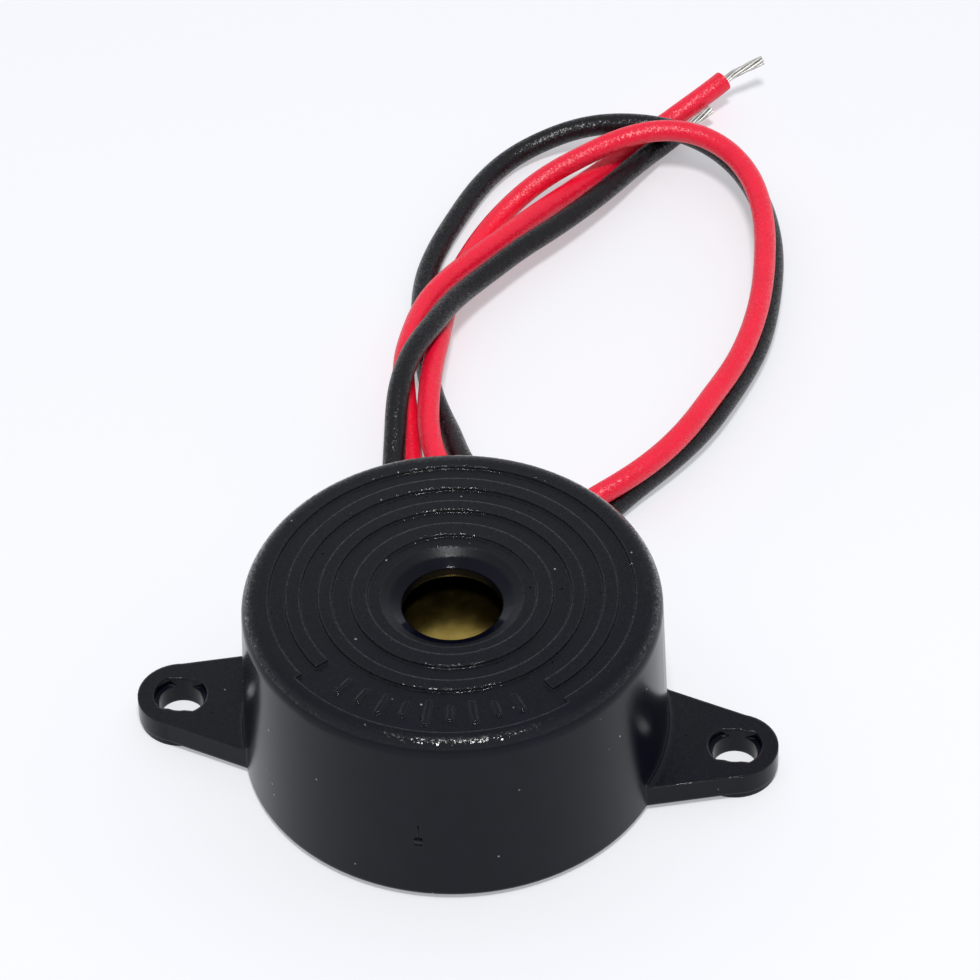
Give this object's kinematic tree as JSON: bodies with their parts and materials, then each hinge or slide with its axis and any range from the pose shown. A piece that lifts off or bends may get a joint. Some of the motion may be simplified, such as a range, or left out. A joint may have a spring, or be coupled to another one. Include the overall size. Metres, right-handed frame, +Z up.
{
  "type": "piezo buzzer",
  "caption": "Round black piezo buzzer with a fixing ear on each side, a stepped face with a funnel sound port, and looped stranded leads.",
  "frame": {"origin": "centre of the round body, on the plane that the two ear feet stand on", "axes": "X runs through the two ear holes, Y points to the back where the leads leave, Z points up out of the sound port"},
  "size_m": [0.0344, 0.067, 0.0112],
  "materials": {
    "housing_plastic": "black moulded plastic, satin face and glossy wall",
    "cover_plastic": "black moulded plastic, matt",
    "board_laminate": "green solder mask over glass laminate",
    "copper": "thin copper foil",
    "chip_plastic": "black moulded epoxy",
    "tin_plate": "bright tin plate",
    "resistor_coat": "black glass coat",
    "ferrite": "sintered ferrite",
    "winding_copper": "enamelled copper wire",
    "wire_red": "thin red insulation",
    "wire_black": "thin black insulation",
    "wire_blue": "thin blue insulation",
    "solder": "bright solder",
    "diaphragm_brass": "rolled brass, slightly dull",
    "ceramic": "fired piezo ceramic",
    "electrode_silver": "fired silver paste",
    "adhesive": "white silicone adhesive",
    "sealant": "cream sealing compound",
    "lead_red": "red PVC insulation",
    "lead_black": "black PVC insulation",
    "tinned_strands": "tinned copper strands"
  },
  "bodies": {
    "root": {"housing": "housing_plastic", "back_cover": "cover_plastic", "circuit_board": "board_laminate", "copper_pads": "copper", "transistor_body": "chip_plastic", "transistor_legs": "tin_plate", "resistor_left_body": "resistor_coat", "resistor_left_ends": "tin_plate", "resistor_middle_body": "resistor_coat", "resistor_middle_ends": "tin_plate", "resistor_right_body": "resistor_coat", "resistor_right_ends": "tin_plate", "inductor_core": "ferrite", "inductor_winding": "winding_copper", "inductor_terminals": "tin_plate", "piezo_wire_red": "wire_red", "piezo_wire_black": "wire_black", "piezo_wire_blue": "wire_blue", "board_solder_joints": "solder", "disc_solder_joints": "solder", "lead_solder_joints": "solder", "diaphragm_disc": "diaphragm_brass", "piezo_ceramic": "ceramic", "main_electrode": "electrode_silver", "feedback_electrode": "electrode_silver", "diaphragm_adhesive": "adhesive", "lead_sealant": "sealant", "red_lead": "lead_red", "black_lead": "lead_black", "red_conductor": "tinned_strands", "black_conductor": "tinned_strands"}
  },
  "joints": []
}
